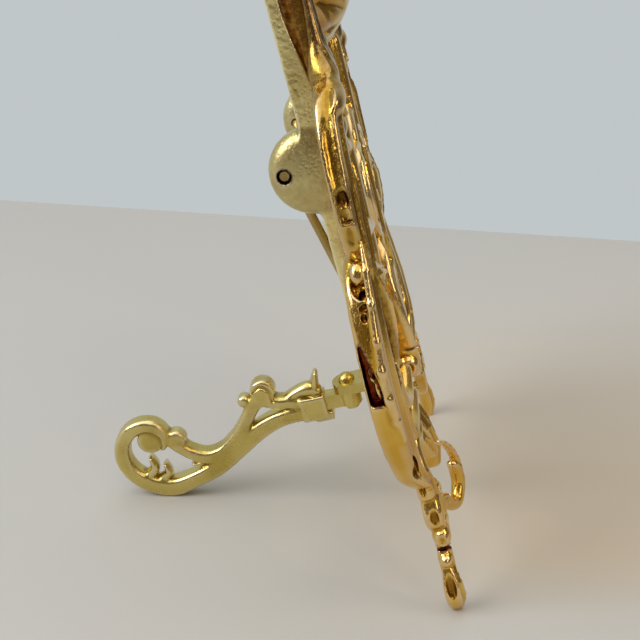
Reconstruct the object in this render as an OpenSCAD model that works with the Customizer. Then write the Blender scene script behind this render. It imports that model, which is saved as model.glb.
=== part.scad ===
/* [Panel] */
// Angle by which the panel leans back from upright
lean = 14.5; // [12:0.5:17]
// Width across the two wings
panel_w = 150; // [144:1:156]
// Length of the panel along its slope, from the feet to the tip of the crest
panel_len = 290; // [284:1:300]
// Front face of the cast ornament, ahead of the panel's middle plane
front_d = 4.2; // [3.8:0.1:4.6]
// Back face of the cast ornament
back_d = -3.9; // [-4.3:0.1:-3.7]
// Back face of the upper scroll of each wing
upper_back_d = -2.3; // [-2.6:0.1:-2]
// Back face of the feet
foot_back_d = -2.4; // [-2.8:0.1:-2]
// Angle by which each wing turns back from the flat middle
wing_turn = 5.2; // [3:0.2:5.4]

/* [Back frame] */
// Distance from the centre to the middle of each upright bar
stile_x = 32.7; // [32:0.1:34]
// Width of an upright bar
stile_w = 7; // [6:0.5:7]
// Thickness of the bars
bar_t = 3.5; // [3:0.1:4]
// Gap between the bars and the ornament, bridged by the bosses
standoff = 3.8; // [3.4:0.1:4.2]
// Radius of the bosses
boss_r = 3.4; // [3:0.1:3.5]
// Radius of the hinge lugs
lug_r = 11.8; // [11:0.1:12.4]
// Height of the lugs' centre along the slope
lug_s = 137.3; // [134:0.1:140]

/* [Back bail] */
// Diameter of the bail wire
wire_d = 2.7; // [2.4:0.1:3]
// Distance from the centre to the bail's arms
arm_x = 26.6; // [25:0.1:26.7]
// Length of the bail's arms
arm_len = 62; // [58:0.5:66]

/* [Rear leg] */
// Thickness of the leg across the stand
leg_t = 6.6; // [6:0.2:8]
// Distance of the leg's rivet behind the panel's middle plane
leg_pivot_d = -21.7; // [-23:0.1:-21]
// Height along the slope of the underside of the leg's bar
leg_bar_s = 45.6; // [45:0.1:46.4]
// Thickness of the leg's bar
leg_bar_t = 5.2; // [4.6:0.1:5.4]
// Thickness of the bracket's plate
plate_t = 3.6; // [3:0.1:4]
// Radius of the leg's rivet
rivet_r = 1.5; // [1.3:0.1:1.8]

/* [Book hooks] */
// Distance from the centre to each hook's pin
hook_x = 50.2; // [50:0.1:50.6]
// Distance of the pin ahead of the panel's middle plane
hook_d = 1.2; // [1:0.1:1.4]
// Angle by which the left hook is swung out of the panel
hook_rest = 26; // [20:1:60]
// Thickness of a hook
hook_t = 4.6; // [4:0.1:4.8]
// Radius of a hook's pin
hook_pin_r = 1.1; // [1:0.1:1.2]

/* [Fits] */
// Radial clearance of a pin that turns in its hole
running = 0.05; // [0.03:0.01:0.09]
// Radial clearance of a rivet that stays put
snug = 0.02; // [0.01:0.01:0.03]

/* [Hidden] */
$fn = 48;
half_w = 75;
full_len = 290;
wide = panel_w / (2 * half_w);
tall = panel_len / full_len;
polished = [0.86, 0.66, 0.28];
satin = [0.74, 0.68, 0.36];
steps = 3;
cap_steps = 5;
far = 400;
depth_mid = 56.22;
bar_front = back_d - standoff;
bar_back = bar_front - bar_t;
bar_end = stile_x - stile_w / 2;
stile_bottom = 44;
stile_top = 224;
member_top = 198;
pin_s = lug_s + 0.7;
pin_d = bar_back - 7.2;
pin_hole_r = wire_d / 2 + running;
middle_bar_s = 116;
plate_s = leg_bar_s + leg_bar_t + 0.2;
bracket_end_r = 5;
leg_joint = 11.5;
bend = 2.4;
collar_reach = 8.6;
collar_wall = 0.8;
bar_half = leg_t / 2 - collar_wall;
head_r = 2.9;
head_h = 2.6;
rivet_hole = 1.4;
hook_s = 33;
hook_half = 4;
hook_gap = 0.3;
ear_t = 2.6;
ear_r = 2.6;
pin_reach = hook_half + hook_gap + ear_t;
pin_head_r = 1.8;
pin_head_h = 1.2;
shell_s = 188;
shell_r = 23.5;
shell_top = 12.5;
shell_curve_r = 27;
shell_tip_s = 272;
shell_tip_r = 13.4;
wing_rivet_s = [62, 100, 166];
crest_rivet_s = 207;
pendant_rivet_s = 46.6;
scroll_rivet_s = 56;

// The panel's frame: x across, y up the slope, z out of the front
module on_panel() translate([0, -depth_mid, 0]) rotate([90 - lean, 0, 0]) children();

// The upright plane through the middle: x to the back, y up, z across
module on_middle() translate([0, -depth_mid, 0]) rotate([90, 0, 90]) children();

// Keeps only what is above the surface that the stand is on
module above_ground() difference() {
  children();
  translate([-far / 2, -far / 2, -far]) cube(far);
}

// A cylinder up the slope, from s0, at x and depth d
module upright(x, s0, d, r, h) translate([x, s0, d]) rotate([-90, 0, 0]) cylinder(r = r, h = h);

// A flat layer between two depths
module layer(d0, d1) translate([0, 0, d0]) linear_extrude(d1 - d0) children();

// A box given by its two corners
module block(a, b) translate(a) cube(b - a);

// Both halves of what is symmetric about the middle
module both() {
  children();
  mirror([1, 0, 0]) children();
}

function ease(a, b, c, d, t) = 0.5 * (2 * b + (c - a) * t + (2 * a - 5 * b + 4 * c - d) * t * t
                                      + (3 * b - a - 3 * c + d) * t * t * t);
// A smooth curve through points [x, y, width]
function curve(p) = concat(
  [for (i = [0 : len(p) - 2], j = [0 : steps - 1])
    ease(p[max(i - 1, 0)], p[i], p[i + 1], p[min(i + 2, len(p) - 1)], j / steps)],
  [p[len(p) - 1]]);
// The direction to the left of the curve at point i
function leftward(c, i) =
  let (a = c[max(i - 1, 0)], b = c[min(i + 1, len(c) - 1)], v = [a.y - b.y, b.x - a.x]) v / norm(v);
function spot(q) = [q.x, q.y];
function cap(c, i, way) = let (n = leftward(c, i), t = [n.y, -n.x]) [
  for (k = [1 : cap_steps - 1])
    let (a = 180 * k / cap_steps) spot(c[i]) + way * c[i].z / 2 * (cos(a) * n + sin(a) * t)];
// The outline of a scroll strand: a curve of changing width with round ends
function strand_outline(p) = let (c = curve(p), m = len(c) - 1) concat(
  [for (i = [0 : m]) spot(c[i]) + c[i].z / 2 * leftward(c, i)],
  cap(c, m, 1),
  [for (i = [m : -1 : 0]) spot(c[i]) - c[i].z / 2 * leftward(c, i)],
  cap(c, 0, -1));
// Panel strands stretch with the panel, and keep their widths
function stretched(p) = [for (q = p) [q.x * wide, q.y * tall, q.z]];
module strand(p) polygon(strand_outline(p));
module scroll(p, back = back_d) layer(back, front_d) strand(stretched(p));
module eye(x, s, r, back = back_d)
  translate([x * wide, s * tall, back]) cylinder(r = r, h = front_d - back);

// Foot, beads and neck, flat with the panel
module foot_scrolls() {
  scroll([[58.5, 1, 5.5], [60.2, 8, 9.4], [59.2, 15, 7.4], [57.6, 20, 5]], foot_back_d);
  scroll([[57.4, 19, 4.6], [56.6, 29, 4.8], [55.8, 39, 5], [57, 50, 5.4]], foot_back_d);
  eye(57.6, 21, 3.4, foot_back_d);
  eye(56.8, 29, 3.6, foot_back_d);
  eye(56.4, 38, 4.4, foot_back_d);
  scroll([[57, 50, 5.4], [50, 57, 5.6], [41, 58.5, 5.4], [33, 62, 5]]);
}

// The big lower C-scroll, the upper one, and the scrolls that tie them to the upright
module wing_scrolls() {
  scroll([[57, 46, 5.4], [64, 55, 8.4], [70, 69, 10.4], [72, 84, 11], [70.6, 99, 10], [66.5, 111, 8],
          [59.5, 117, 6.4], [53, 114, 5.2]]);
  eye(54.8, 111.5, 4.3);
  scroll([[59, 117, 5.6], [62, 125, 6.6], [61.6, 137, 7.4], [58.6, 149, 7.4], [52.6, 157, 7],
          [45.6, 158.6, 5.8], [41.6, 153.4, 5]], upper_back_d);
  eye(44, 150, 4);
  scroll([[33, 70, 5], [42, 66, 5.4], [51, 71, 6], [55, 82, 6.2], [51, 92, 5.6], [44, 93, 4.6]]);
  eye(45.6, 89.4, 4);
  scroll([[33, 103, 5], [41, 105, 5.4], [48, 102, 5.4], [54, 94, 5], [64, 90, 5]]);
  scroll([[33, 118, 5], [42, 120, 5.4], [49, 127, 5.6], [53, 136, 5.2], [59, 146, 5]]);
  scroll([[33, 170, 6], [38, 165, 6.4], [46, 159, 5]]);
  scroll([[33, 142, 5], [38, 143, 5], [43, 148, 5]]);
}

module wing() {
  above_ground() on_panel() difference() {
    union() {
      foot_scrolls();
      translate([bar_end, 0, 0]) rotate([0, wing_turn, 0]) translate([-bar_end, 0, 0]) wing_scrolls();
      block([bar_end, 50, back_d], [bar_end + stile_w, member_top, front_d]);
      for (s = [hook_s - hook_half - hook_gap - ear_t, hook_s + hook_half + hook_gap]) {
        upright(hook_x, s, hook_d, ear_r, ear_t);
        block([hook_x, s, hook_d - ear_r], [hook_x + 5, s + ear_t, hook_d + ear_r]);
      }
    }
    block([bar_end - 10, 0, bar_back], [bar_end, full_len, front_d + 1]);
    upright(hook_x, hook_s - hook_half - hook_gap, hook_d, ear_r + 0.5, 2 * (hook_half + hook_gap));
    block([bar_end - 1, 40, bar_back], [bar_end + stile_w + 1, 180, back_d]);
    upright(hook_x, 0, hook_d, hook_pin_r + snug, hook_s * 2);
    upright(hook_x, hook_s + pin_reach, hook_d, pin_head_r + 0.2, pin_head_h + 0.3);
    for (s = wing_rivet_s)
      translate([stile_x, s, bar_back]) cylinder(r = rivet_hole + snug, h = 2 - bar_back);
  }
}

module left_wing() color(polished) mirror([1, 0, 0]) wing();
module right_wing() color(polished) wing();

// Paired C-scrolls under a fluted shell
module crest_scrolls() {
  both() {
    scroll([[stile_x, 203, 6.6], [37, 213, 7], [36, 223, 7.4], [29, 230, 6.8], [21, 228, 5.4]]);
    eye(22.4, 225, 3.9);
    scroll([[30, 228, 5.6], [31, 239, 7], [26, 250, 7.4], [18, 254, 6.6], [11.5, 250, 5.4]]);
    eye(13, 247, 3.8);
    scroll([[stile_x, 206, 5], [22, 214, 5.4], [11, 217, 5.6], [0, 217, 6]]);
    scroll([[22, 234, 4.6], [15, 236, 5], [7, 231, 5], [0, 223, 5]]);
    scroll([[14, 254, 5], [16, 262, 5.6], [12, 268, 5.4], [4, 266, 5]]);
  }
  scroll([[0, 217, 6], [0, 236, 5], [0, 258, 8]]);
  eye(0, shell_tip_s, shell_tip_r);
  for (a = [0 : 30 : 180])
    translate([shell_tip_r * cos(a), shell_tip_s * tall + shell_tip_r * sin(a), back_d])
      cylinder(r = 3.4, h = front_d - back_d);
}

module crest() color(polished) on_panel() difference() {
  crest_scrolls();
  for (side = [-1, 1])
    translate([side * stile_x, crest_rivet_s, bar_back]) cylinder(r = rivet_hole + snug, h = 2 - bar_back);
}

// Domed shell with a rolled rim, on the upper cross bar
module shell_boss() color(polished) on_panel() translate([0, shell_s, 0]) difference() {
  intersection() {
    translate([0, 0, back_d]) cylinder(r = shell_r, h = shell_top - back_d);
    translate([0, 0, shell_top - shell_curve_r]) sphere(r = shell_curve_r, $fn = 96);
  }
  translate([0, -8, bar_back]) cylinder(r = rivet_hole + snug, h = 2 - bar_back);
}

// Two C-scrolls back to back, a small pair over them and the stem between
module centre_scrolls() {
  both() {
    scroll([[0, 104, 6], [8, 108, 5], [17, 103, 6], [22, 92, 7], [22, 78, 7.4], [18, 65, 7], [10, 58, 6],
            [0, 56, 6]]);
    scroll([[0, 92, 5], [6, 86, 5], [7, 76, 5.4], [12, 68, 5.2], [19, 70, 5]]);
    scroll([[8, 106, 5], [16, 112, 6], [20, 122, 6.4], [17, 132, 5.6], [10, 134, 4.6]]);
    eye(11.4, 130.4, 3.8);
    scroll([[10, 133, 4.6], [5, 141, 5], [0, 146, 6]]);
  }
  scroll([[0, 90, 5], [0, 104, 6.6], [0, 122, 7], [0, 146, 6]]);
}

module centre_scroll() color(polished) on_panel() difference() {
  centre_scrolls();
  for (s = [scroll_rivet_s, middle_bar_s])
    translate([0, s, bar_back]) cylinder(r = rivet_hole + snug, h = 2 - bar_back);
}

// Hanging acanthus leaf of three ribs
module pendant() color(polished) on_panel() difference() {
  union() {
    both() scroll([[3, 48, 5], [8, 40, 6.4], [9, 31, 6], [6, 23, 4.4]]);
    scroll([[0, 49, 7], [0, 38, 8.4], [0, 26, 7], [0, 16, 4]]);
  }
  translate([0, pendant_rivet_s, bar_back]) cylinder(r = rivet_hole + snug, h = 2 - bar_back);
}

// Upright bar with its bosses and the hinge lug
module stile() color(satin) on_panel() difference() {
  union() {
    block([bar_end, stile_bottom, bar_back], [bar_end + stile_w, stile_top, bar_front]);
    for (s = concat(wing_rivet_s, [crest_rivet_s]))
      translate([stile_x, s, bar_front]) cylinder(r = boss_r, h = standoff);
    intersection() {
      translate([bar_end, lug_s, bar_back + 1]) rotate([0, 90, 0]) cylinder(r = lug_r, h = stile_w, $fn = 96);
      block([0, 0, -far], [far, far, bar_front]);
    }
  }
  translate([bar_end - 1, pin_s, pin_d]) rotate([0, 90, 0]) cylinder(r = pin_hole_r, h = stile_w + 2);
  translate([bar_end + stile_w - 0.7, pin_s, pin_d]) rotate([0, 90, 0]) cylinder(r = 1.9, h = 2);
  for (s = concat(wing_rivet_s, [crest_rivet_s]))
    translate([stile_x, s, bar_back - 1]) cylinder(r = rivet_hole + snug, h = far);
}

module left_stile() mirror([1, 0, 0]) stile();
module right_stile() stile();

// A bar between the uprights, with a boss for each rivet
module cross_bar(s0, s1, rivets) difference() {
  union() {
    block([-bar_end, s0, bar_back], [bar_end, s1, bar_front]);
    for (s = rivets)
      translate([0, s, bar_front]) cylinder(r = boss_r, h = standoff);
  }
  for (s = rivets)
    translate([0, s, bar_back - 1]) cylinder(r = rivet_hole + snug, h = far);
}

module upper_cross_bar() color(satin) on_panel() cross_bar(shell_s - 12, shell_s - 4, [shell_s - 8]);
module middle_cross_bar() color(satin) on_panel()
  cross_bar(middle_bar_s - 4, middle_bar_s + 4, [middle_bar_s]);

// Lower cross bar with the plate that the leg swings under
module leg_bracket() color(satin) on_panel() difference() {
  union() {
    cross_bar(stile_bottom, stile_bottom + 16, [pendant_rivet_s, scroll_rivet_s]);
    block([-bracket_end_r, plate_s, leg_pivot_d], [bracket_end_r, plate_s + plate_t, bar_back]);
    upright(0, plate_s, leg_pivot_d, bracket_end_r, plate_t);
  }
  upright(0, plate_s - 1, leg_pivot_d, rivet_r + snug, plate_t + 2);
}

// Flat bar that turns on the rivet, and runs into the leg's collar
module leg_bar() color(satin) on_panel() difference() {
  union() {
    upright(0, leg_bar_s, leg_pivot_d, leg_t / 2 + 0.4, leg_bar_t);
    block([-bar_half, leg_bar_s, leg_pivot_d - leg_joint], [bar_half, leg_bar_s + leg_bar_t, leg_pivot_d]);
  }
  upright(0, leg_bar_s - 1, leg_pivot_d, rivet_r + running, leg_bar_t + 2);
}

// Side view of the leg's scroll
module leg_profile() {
  strand([[48, 35, 5.4], [56.5, 32.6, 6], [64.4, 27.6, 6.6], [71.6, 20.6, 7], [80, 12, 6.6],
          [88.5, 6.7, 6.2], [96, 3.3, 7.2], [103.6, 4.2, 6.6], [110, 8, 6], [113.8, 14.4, 5.4],
          [113.4, 22, 5.2], [109, 27.6, 4.8], [103, 28.4, 4.6]]);
  translate([104, 22.6]) circle(r = 5.4);
  translate([94.6, 22.9]) circle(r = 3.7);
  strand([[93.6, 20.4, 4.6], [89, 17.6, 4.6], [83.6, 16.2, 5.2], [77.6, 18.6, 5.4], [72.6, 24.6, 5],
          [69.4, 31, 4.6], [66.8, 37, 5], [63.6, 42, 6]]);
  translate([63.4, 43]) circle(r = 4.3);
  translate([70, 39]) circle(r = 2);
  strand([[64, 40, 5], [58.6, 38.6, 4.6], [53.4, 38.9, 4.6], [47, 38.4, 5]]);
  strand([[104.4, 8, 3.4], [102.6, 11.4, 2.8], [103.8, 14.4, 1.8]]);
  strand([[100, 6.6, 3.4], [98, 9.4, 2.6], [98.8, 12, 1.8]]);
  strand([[84, 15.4, 3], [86, 13.4, 2.4], [88.4, 13.2, 1.6]]);
  polygon([[57, 39.4], [50.4, 44], [47, 45.4], [45.4, 49.6], [44, 43.8], [42.2, 40]]);
}

// Cast scroll that the stand leans back on, and the collar that takes the bar's end
module leg_scroll() color(satin) above_ground() difference() {
  union() {
    on_middle() translate([0, 0, -leg_t / 2]) linear_extrude(leg_t) leg_profile();
    on_panel() block(
      [-leg_t / 2 - collar_wall, leg_bar_s - 2.6, leg_pivot_d - leg_joint - 6],
      [leg_t / 2 + collar_wall, leg_bar_s + leg_bar_t + 1, leg_pivot_d - collar_reach]);
  }
  on_panel() block([-bar_half, leg_bar_s, leg_pivot_d - leg_joint], [bar_half, leg_bar_s + leg_bar_t, 0]);
}

// Rivet with a domed head over the plate and a peened tail under the leg
module leg_rivet() color(satin) on_panel() {
  upright(0, leg_bar_s - 0.2, leg_pivot_d, rivet_r, leg_bar_t + plate_t + 0.6);
  upright(0, leg_bar_s - 1.6, leg_pivot_d, 2.3, 1.5);
  translate([0, plate_s + plate_t, leg_pivot_d]) rotate([-90, 0, 0]) intersection() {
    cylinder(r = head_r, h = head_h);
    translate([0, 0, head_h - head_r - 0.1]) sphere(r = head_r + 0.1);
  }
}

// Crescent that a book's lower edge rests in, swung out from the panel by an angle
module hook(angle) color(polished)
  on_panel() translate([hook_x, hook_s, hook_d]) rotate([0, angle, 0]) difference() {
    union() {
      rotate([90, 0, 0]) translate([0, 0, -hook_half]) cylinder(r = ear_r, h = 2 * hook_half);
      translate([0, 0, -hook_t / 2]) linear_extrude(hook_t)
        strand([[-0.6, -0.6, 4.6], [-5.6, -2.6, 4.4], [-8.6, -7, 4.8], [-13, -8.6, 5.2], [-17, -3.8, 5.4],
                [-17.6, 3.4, 5.4], [-15, 10.6, 4.8], [-10, 15, 4.2]]);
    }
    rotate([90, 0, 0]) translate([0, 0, -far / 2]) cylinder(r = hook_pin_r + running, h = far);
  }

module left_hook() mirror([1, 0, 0]) hook(hook_rest);
module right_hook() hook(0);

module hook_pin() color(satin) on_panel() {
  upright(hook_x, hook_s - pin_reach, hook_d, hook_pin_r, 2 * pin_reach);
  upright(hook_x, hook_s + pin_reach, hook_d, pin_head_r, pin_head_h);
}

module left_hook_pin() mirror([1, 0, 0]) hook_pin();
module right_hook_pin() hook_pin();

module wire(from, angle, h)
  translate([from.x, from.y, 0]) rotate([0, 0, angle]) rotate([0, 90, 0]) cylinder(r = wire_d / 2, h = h);
module wire_bend(from)
  rotate([0, 0, from]) rotate_extrude(angle = 90) translate([bend, 0]) circle(d = wire_d);

// Wire bail sprung into the two lugs, lying against the back of the ornament
module back_bail() color(satin) on_panel() {
  rest_d = back_d - wire_d / 2 - 0.2;
  swing = asin((rest_d - pin_d) / arm_len);
  translate([0, pin_s, pin_d]) rotate([-swing, 0, 0]) both() {
    wire([arm_x + bend, 0], 0, bar_end + stile_w - arm_x - bend - 0.4);
    translate([arm_x + bend, -bend, 0]) wire_bend(90);
    wire([arm_x, bend - arm_len], 90, arm_len - 2 * bend);
    translate([arm_x - bend, bend - arm_len, 0]) wire_bend(-90);
    wire([0, -arm_len], 0, arm_x - bend);
  }
}

// Rivet from the back of a bar, hammered flush with it
module back_rivet() cylinder(r = rivet_hole, h = 1.8 - bar_back);

module wing_rivets() color(satin) on_panel()
  for (side = [-1, 1], s = wing_rivet_s) translate([side * stile_x, s, bar_back]) back_rivet();
module crest_rivets() color(satin) on_panel()
  for (side = [-1, 1]) translate([side * stile_x, crest_rivet_s, bar_back]) back_rivet();
module centre_rivets() color(satin) on_panel()
  for (s = [pendant_rivet_s, scroll_rivet_s, middle_bar_s, shell_s - 8])
    translate([0, s, bar_back]) back_rivet();

left_wing();
right_wing();
crest();
shell_boss();
centre_scroll();
pendant();
left_stile();
right_stile();
upper_cross_bar();
middle_cross_bar();
leg_bracket();
leg_bar();
leg_scroll();
leg_rivet();
left_hook();
right_hook();
left_hook_pin();
right_hook_pin();
back_bail();
wing_rivets();
crest_rivets();
centre_rivets();
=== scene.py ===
"""Looks for the cast brass book stand: the castings are sculpted on a grid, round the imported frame."""

import math

import bpy
import numpy as np
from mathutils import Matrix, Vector


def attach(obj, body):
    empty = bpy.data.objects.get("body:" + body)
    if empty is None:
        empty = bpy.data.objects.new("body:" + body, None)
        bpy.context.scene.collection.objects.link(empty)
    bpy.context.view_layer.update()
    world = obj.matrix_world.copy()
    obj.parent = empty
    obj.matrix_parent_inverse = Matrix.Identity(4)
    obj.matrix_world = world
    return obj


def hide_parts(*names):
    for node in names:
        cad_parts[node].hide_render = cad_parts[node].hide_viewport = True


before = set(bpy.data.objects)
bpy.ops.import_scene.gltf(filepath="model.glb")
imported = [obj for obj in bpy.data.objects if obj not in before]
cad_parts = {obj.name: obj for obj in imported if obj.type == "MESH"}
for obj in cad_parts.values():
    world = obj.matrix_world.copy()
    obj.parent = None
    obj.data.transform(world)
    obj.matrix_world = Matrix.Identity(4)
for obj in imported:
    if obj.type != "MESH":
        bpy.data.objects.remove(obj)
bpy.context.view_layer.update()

# Panel frame, in millimetres: x across, s up the slope, d out of the front
LEAN = math.radians(14.5)
DEPTH_MID = 56.22
FRONT, BACK = 4.2, -3.9
UPPER_BACK, FOOT_BACK = -2.0, -2.2
BAR_END, STILE_W = 29.2, 7.0
BAR_FRONT, BAR_BACK = -7.7, -11.2
WING_TURN = math.tan(math.radians(5.2))
MEMBER_X = BAR_END + STILE_W / 2
LUG_S, LUG_D, LUG_R = 137.0, -10.6, 12.5
PIN_S, PIN_D = 138.0, -18.4
HOOK_X, HOOK_S, HOOK_D, HOOK_REST = 50.2, 33.0, 1.2, 26.0
SHELL_S, SHELL_R, SHELL_TOP, SHELL_CURVE, SHELL_FOOT = 188.0, 23.5, 12.5, 27.0, 17.0
LEG_HALF = 3.3

# The grids: how far outside a point starts, the cells' sizes, and the rounds of smoothing
AIR = 9.0
HOOK_CELL, STILE_CELL, FINE, COARSE = 0.3, 0.35, 0.4, 0.5
PULL, PUSH = 0.5, -0.52
RELIEF_ROUNDS = 36

# Where the wing stands on its grid, and the edges of its broad, soft strands
WING_LOW, WING_HIGH = [26, -1], [82, 206]
BROAD = dict(back_edge=2.8, edge=0.7)


# ---------- Sculpting ----------

def smooth_min(a, b, k):
    h = np.clip(0.5 + 0.5 * (b - a) / k, 0, 1)
    return b + (a - b) * h - k * h * (1 - h)


def smooth_max(a, b, k):
    return -smooth_min(-a, -b, k)


def step(a, b, v):
    t = np.clip((v - a) / (b - a), 0, 1)
    return t * t * (3 - 2 * t)


class Clay:
    """A solid on a grid: its distance to the surface, in millimetres, and how much staining and painted shade that
    surface carries.
    """

    def __init__(self, low, high, cell):
        self.low, self.cell = np.array(low, float), cell
        self.count = np.ceil((np.array(high) - self.low) / cell).astype(int) + 1
        self.gap = np.full(self.count, AIR, np.float32)
        self.stain_and_shade = np.zeros(self.count, np.float32)

    def window(self, low, high):
        a = np.clip(np.floor((np.array(low) - self.low) / self.cell).astype(int), 0, self.count - 2)
        b = np.clip(np.ceil((np.array(high) - self.low) / self.cell).astype(int) + 1, a + 1, self.count)
        axes = [self.low[i] + self.cell * np.arange(a[i], b[i]) for i in range(3)]
        return tuple(slice(i, j) for i, j in zip(a, b)), np.meshgrid(*axes, indexing="ij", sparse=True)

    def add(self, part, gap, soft=0.7):
        self.gap[part] = smooth_min(self.gap[part], gap, soft)

    def carve(self, part, gap, soft=0.5, stain_and_shade=0.0):
        old, cut = self.gap[part], -gap
        self.stain_and_shade[part] = np.maximum(self.stain_and_shade[part], stain_and_shade * step(-0.5, 0.1, cut - old) * (cut < 1.2))
        self.gap[part] = smooth_max(old, cut, soft)

    def roughen(self, low, high, size, depth, seed, where):
        """Pits and grains on part of the surface, as strong as where(x, y, z) says."""
        part, (x, y, z) = self.window(low, high)
        shape = self.gap[part].shape
        rng = np.random.default_rng(seed)
        value = rng.random(tuple(int(n * self.cell / size) + 3 for n in shape))
        for axis, n in enumerate(shape):
            g = np.arange(n) * self.cell / size
            i = g.astype(int)
            f = (g - i).reshape([-1 if a == axis else 1 for a in range(3)])
            value = np.take(value, i, axis) * (1 - f) + np.take(value, i + 1, axis) * f
        self.gap[part] += ((value - 0.5) * 2 * depth * where(x, y, z)).astype(np.float32)

    def roughen_back(self, low, high, depth, seed):
        """The coarse sand-cast ground on a casting's back."""
        self.roughen([*low, -6], [*high, -2.6], 2.4, depth, seed, lambda x, s, d: step(-3.0, -3.8, d))


def smooth_path(points):
    """Catmull-Rom curve through points of any number of values, sampled about every millimetre."""
    p = np.array(points, float)
    p = np.vstack([2 * p[0] - p[1], p, 2 * p[-1] - p[-2]])
    out = []
    for i in range(1, len(p) - 2):
        a, b, c, d = p[i - 1], p[i], p[i + 1], p[i + 2]
        n = max(2, int(np.hypot(*(c - b)[:2])))
        for t in np.arange(n)[:, None] / n:
            bend, twist = 2 * a - 5 * b + 4 * c - d, 3 * b - a - 3 * c + d
            out.append(0.5 * (2 * b + (c - a) * t + bend * t**2 + twist * t**3))
    return np.array(out + [p[-2]])


def along(path, x, y):
    """For each point: signed distance to the path, the path's own values there, and how far along it is."""
    a, b = path[:-1], path[1:]
    run = b[:, :2] - a[:, :2]
    length = np.hypot(run[:, 0], run[:, 1])
    start = np.concatenate([[0], np.cumsum(length)[:-1]])
    shape = np.broadcast(x, y).shape
    px, py = (np.broadcast_to(v, shape).reshape(-1, 1) for v in (x, y))
    t = np.clip(((px - a[:, 0]) * run[:, 0] + (py - a[:, 1]) * run[:, 1]) / length**2, 0, 1)
    ox, oy = px - a[:, 0] - t * run[:, 0], py - a[:, 1] - t * run[:, 1]
    far = np.hypot(ox, oy)
    # a thick stretch reaches further than a thin one
    near = np.argmin(far - (a[:, 2] * (1 - t) + b[:, 2] * t) / 2, axis=1)
    row = np.arange(len(near))
    t, far = t[row, near], far[row, near]
    side = np.sign(run[near, 0] * oy[row, near] - run[near, 1] * ox[row, near])
    values = a[near] * (1 - t[:, None]) + b[near] * t[:, None]
    return (far * side).reshape(shape), values.reshape(shape + (-1,)), (start[near] + t * length[near]).reshape(shape)


def strand(clay, points, section, top=FRONT, back=BACK, edge=0.8, back_edge=0.9, soft=0.6, both_faces=False):
    """A scroll strand through [x, s, width, thickness]. section(q, t) is its height below top: q runs from -1 to 1
    across it and is positive on its left, and t is the distance along it. A thickness left out is 1."""
    path = smooth_path([[*p, 1][:4] for p in points])
    reach = path[:, 2].max() / 2 + 1.5
    low = path[:, :2].min(0) - reach
    high = path[:, :2].max(0) + reach
    deep = -top if both_faces else back
    part, (x, y, z) = clay.window([*low, deep - 1.5], [*high, top + 2.5])
    off, values, t = along(path, x[..., 0], y[..., 0])
    half = values[..., 2] / 2
    thick = values[..., 3][..., None]
    rise = (top + section(off / half, t))[..., None] * thick
    side = (np.abs(off) - half)[..., None]
    gap = smooth_max(side, z - rise, edge)
    gap = smooth_max(gap, (-rise if both_faces else back * thick) - z, edge if both_faces else back_edge)
    clay.add(part, gap, soft)


def knob(clay, x0, s0, r, top=FRONT, dome=1.4, dish=0.0, back=BACK, edge=0.8, soft=0.6, both_faces=False):
    """A round eye, domed or dished."""
    reach = r + 2
    part, (x, y, z) = clay.window([x0 - reach, s0 - reach, min(back, -top) - 1.5],
                                  [x0 + reach, s0 + reach, top + 2.5])
    far = np.hypot(x - x0, y - s0)
    rise = top - dome * (far / r) ** 2 - dish * np.clip(1 - (far / (0.72 * r)) ** 2, 0, 1)
    gap = smooth_max(far - r, z - rise, edge)
    clay.add(part, smooth_max(gap, (-rise if both_faces else back) - z, edge), soft)


def ellipsoid(x, y, z, centre, radii, turn=0.0):
    """Distance to an ellipsoid, turned in the x-y plane."""
    c, s = math.cos(math.radians(turn)), math.sin(math.radians(turn))
    u, v, w = x - centre[0], y - centre[1], z - centre[2]
    u, v = u * c + v * s, v * c - u * s
    k0 = np.sqrt((u / radii[0]) ** 2 + (v / radii[1]) ** 2 + (w / radii[2]) ** 2)
    k1 = np.sqrt((u / radii[0] ** 2) ** 2 + (v / radii[1] ** 2) ** 2 + (w / radii[2] ** 2) ** 2)
    return k0 * (k0 - 1) / np.maximum(k1, 1e-4)


def egg(clay, centre, radii, turn):
    """The window round an ellipsoid, and the distance to it there."""
    reach = max(radii[:2]) + 2
    low = np.array(centre) - [reach, reach, radii[2] + 2]
    part, (x, y, z) = clay.window(low, 2 * np.array(centre) - low)
    return part, ellipsoid(x, y, z, centre, radii, turn)


def lump(clay, centre, radii, turn=0.0, soft=0.6):
    clay.add(*egg(clay, centre, radii, turn), soft)


def scoop(clay, centre, radii, turn=0.0, stain_and_shade=0.0):
    clay.carve(*egg(clay, centre, radii, turn), 0.35, stain_and_shade)


def ridge(clay, points, soft, cut=False):
    """A raised line through [x, y, z, radius], or the groove that it would leave."""
    p = np.array(points, float)
    for a, b in zip(p[:-1], p[1:]):
        reach = max(a[3], b[3]) + 2
        part, (x, y, z) = clay.window(np.minimum(a, b)[:3] - reach, np.maximum(a, b)[:3] + reach)
        run = (b - a)[:3]
        t = np.clip(((x - a[0]) * run[0] + (y - a[1]) * run[1] + (z - a[2]) * run[2]) / (run @ run), 0, 1)
        far = np.sqrt((x - a[0] - t * run[0])**2 + (y - a[1] - t * run[1])**2 + (z - a[2] - t * run[2])**2)
        (clay.carve if cut else clay.add)(part, far - a[3] - t * (b[3] - a[3]), soft)


def block(clay, low, high, soft):
    low, high = np.array(low, float), np.array(high, float)
    part, (x, y, z) = clay.window(low - 2, high + 2)
    gap = smooth_max(np.maximum(low[0] - x, x - high[0]), np.maximum(low[1] - y, y - high[1]), 0.5)
    clay.add(part, smooth_max(gap, np.maximum(low[2] - z, z - high[2]), 0.5), soft)


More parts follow.
